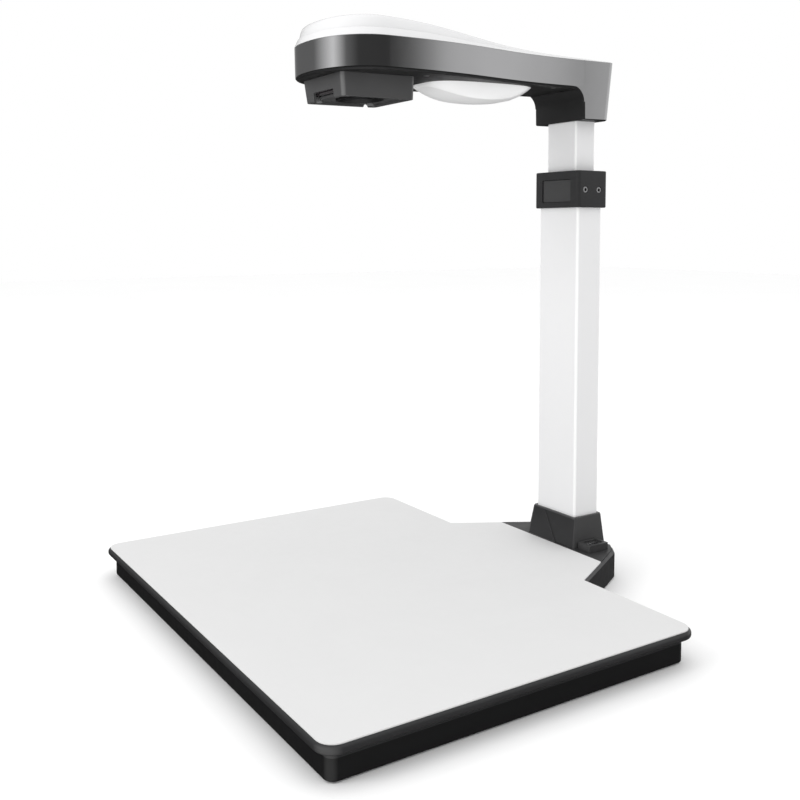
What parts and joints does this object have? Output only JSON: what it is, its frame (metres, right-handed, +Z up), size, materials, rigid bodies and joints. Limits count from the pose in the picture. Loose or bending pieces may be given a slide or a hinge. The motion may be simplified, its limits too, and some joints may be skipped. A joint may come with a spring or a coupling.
{
  "type": "book scanner",
  "caption": "Overhead document scanner: flat white copy table, telescopic rectangular mast with a press-to-release collar, and a long arm with a downward camera and an oval lamp.",
  "frame": {"origin": "bottom centre of the whole object's box, on the surface the feet stand on", "axes": "+Z up, +Y from the reader towards the mast, +X to the reader's right"},
  "size_m": [0.4444, 0.4164, 0.4998],
  "materials": {
    "white_mat": "fine matt white sheet",
    "dark_frame": "satin near-black moulding",
    "dark_base": "fine-textured black moulding",
    "rubber_black": "matt",
    "steel_plate": "plain rolled",
    "screw_steel": "blackened",
    "dark_bracket": "fine-textured dark grey moulding",
    "port_metal": "nickel plate",
    "pcb_green": "solder mask",
    "mast_white": "satin white powder coat on aluminium",
    "plug_plastic": "moulded nylon",
    "collar_dark": "fine-textured dark grey moulding",
    "button_dark": "satin dark grey moulding",
    "brake_rubber": "matt",
    "spring_steel": "bright wire",
    "arm_gloss": "gloss dark grey lacquer",
    "cover_white": "gloss white",
    "module_dark": "satin dark grey moulding",
    "lens_black": "black anodised",
    "lens_glass": "coated optical glass",
    "window_dark": "dark infrared filter",
    "chip_black": "matt epoxy",
    "led_yellow": "phosphor",
    "lamp_white": "opal diffuser",
    "clamp_alu": "machined"
  },
  "bodies": {
    "base": {"copy_sheet": "white_mat", "table_frame": "dark_frame", "table_base": "dark_base", "table_screws": "screw_steel", "rubber_feet": "rubber_black", "ballast_plates": "steel_plate", "rear_bracket": "dark_bracket", "bracket_bolts": "screw_steel", "bracket_cover": "dark_base", "bracket_feet": "rubber_black", "mast_socket": "dark_bracket", "socket_bolts": "screw_steel", "port_block": "dark_bracket", "usb_port": "port_metal", "port_board": "pcb_green", "lower_mast_tube": "mast_white", "mast_foot_plug": "plug_plastic", "mast_foot_screws": "screw_steel", "guide_bush": "plug_plastic", "collar_housing": "collar_dark", "collar_screws": "screw_steel", "button_springs": "spring_steel"},
    "release": {"release_button": "button_dark", "brake_pad": "brake_rubber"},
    "head": {"upper_mast_tube": "mast_white", "guide_shoe": "plug_plastic", "arm_shell": "arm_gloss", "top_cover": "cover_white", "cover_screws": "screw_steel", "arm_spine": "steel_plate", "mast_clamp": "clamp_alu", "camera_housing": "module_dark", "camera_face": "module_dark", "module_screws": "screw_steel", "notch_window": "window_dark", "lens_bezel": "lens_black", "lens_barrel": "lens_black", "lens_glass": "lens_glass", "lens_mount": "lens_black", "sensor_board": "pcb_green", "sensor_chip": "chip_black", "main_board": "pcb_green", "board_chips": "chip_black", "board_standoffs": "port_metal", "led_board": "clamp_alu", "led_chips": "led_yellow", "lamp_reflector": "lamp_white", "lamp_diffuser": "lamp_white"}
  },
  "joints": [
    {"name": "mast_slide", "type": "slide", "parent": "base", "child": "head", "axis": [0, 0, 1], "range_m": [-0.044, 0.125]},
    {"name": "release_press", "type": "slide", "parent": "base", "child": "release", "axis": [0, 1, 0], "range_m": [0, 0.0018], "stiffness_N_per_m": 400, "springref_m": -0.004, "deforming": ["button_springs"]}
  ]
}
